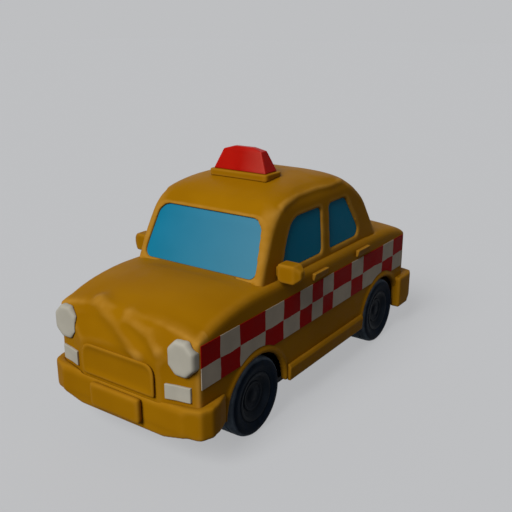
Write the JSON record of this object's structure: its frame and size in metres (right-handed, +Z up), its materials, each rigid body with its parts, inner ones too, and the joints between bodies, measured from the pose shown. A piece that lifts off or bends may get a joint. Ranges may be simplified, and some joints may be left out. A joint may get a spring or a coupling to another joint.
{
  "type": "toy taxi",
  "caption": "Push-along toy taxi: hollow moulded body and cabin, blue panes, check bands, roof sign, and wheelsets that roll freely in a base plate.",
  "frame": {"origin": "on the floor under the middle of the car's overall length, where the tyres stand", "axes": "+Y towards the tail along the car's length, +X towards the car's left side, +Z up"},
  "size_m": [0.0804, 0.1736, 0.0978],
  "materials": {
    "body_amber": "moulded, satin to gloss",
    "window_blue": "opaque tinted plastic, glossy",
    "lamp_cream": "opaque plastic, satin",
    "sign_red": "translucent-looking plastic, glossy",
    "tail_red": "glossy",
    "check_print": "printed red and off-white check film",
    "base_dark": "moulded, fine texture",
    "steel": "drawn bright steel",
    "hub_navy": "moulded, satin",
    "tyre_navy": "soft moulded rubber, satin"
  },
  "bodies": {
    "car": {"body_shell": "body_amber", "cabin_shell": "body_amber", "sign_plinth": "body_amber", "front_bumper": "body_amber", "rear_bumper": "body_amber", "front_plate": "body_amber", "grille_panel": "body_amber", "mirror_left": "body_amber", "mirror_right": "body_amber", "front_handle_left": "body_amber", "front_handle_right": "body_amber", "rear_handle_left": "body_amber", "rear_handle_right": "body_amber", "running_board_left": "body_amber", "running_board_right": "body_amber", "windscreen": "window_blue", "rear_window": "window_blue", "front_window_left": "window_blue", "front_window_right": "window_blue", "rear_side_window_left": "window_blue", "rear_side_window_right": "window_blue", "headlight_left": "lamp_cream", "headlight_right": "lamp_cream", "indicator_left": "lamp_cream", "indicator_right": "lamp_cream", "sign_lens": "sign_red", "tail_lamp_left": "tail_red", "tail_lamp_right": "tail_red", "check_band_left": "check_print", "check_band_right": "check_print", "base_plate": "base_dark", "base_screws": "steel"},
    "front_wheelset": {"axle_front": "steel", "hub_front_left": "hub_navy", "hub_front_right": "hub_navy", "tyre_front_left": "tyre_navy", "tyre_front_right": "tyre_navy"},
    "rear_wheelset": {"axle_rear": "steel", "hub_rear_left": "hub_navy", "hub_rear_right": "hub_navy", "tyre_rear_left": "tyre_navy", "tyre_rear_right": "tyre_navy"}
  },
  "joints": [
    {"name": "front_wheels_roll", "type": "hinge", "parent": "car", "child": "front_wheelset", "pos_m": [0, -0.0469, 0.015], "axis": [1, 0, 0], "continuous": true},
    {"name": "rear_wheels_roll", "type": "hinge", "parent": "car", "child": "rear_wheelset", "pos_m": [0, 0.0531, 0.015], "axis": [1, 0, 0], "continuous": true}
  ]
}
